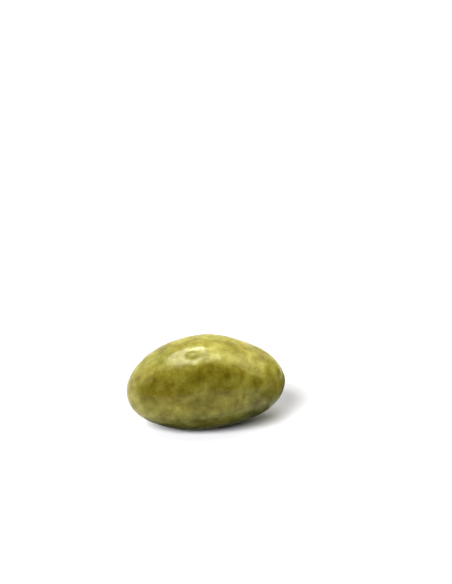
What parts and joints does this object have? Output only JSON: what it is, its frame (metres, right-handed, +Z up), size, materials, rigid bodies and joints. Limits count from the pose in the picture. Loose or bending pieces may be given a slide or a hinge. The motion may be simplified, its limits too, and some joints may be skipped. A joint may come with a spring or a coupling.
{
  "type": "matcha coated almond",
  "caption": "Whole almond in a hard, glossy, mottled green coating: an uneven egg shape, blunt at one end and slimmer at the other, lying on its side.",
  "frame": {"origin": "on the surface that the almond lies on, under the middle of its box", "axes": "+X along the length, towards the slimmer tip; +Z up, through the thinnest direction"},
  "size_m": [0.0262, 0.0172, 0.015],
  "materials": {
    "coating": "hard, glossy confectionery coating of green tea and white chocolate: mottled olive to pale yellow-green, with soft low lumps"
  },
  "bodies": {
    "root": {"matcha_almond": "coating"}
  },
  "joints": []
}
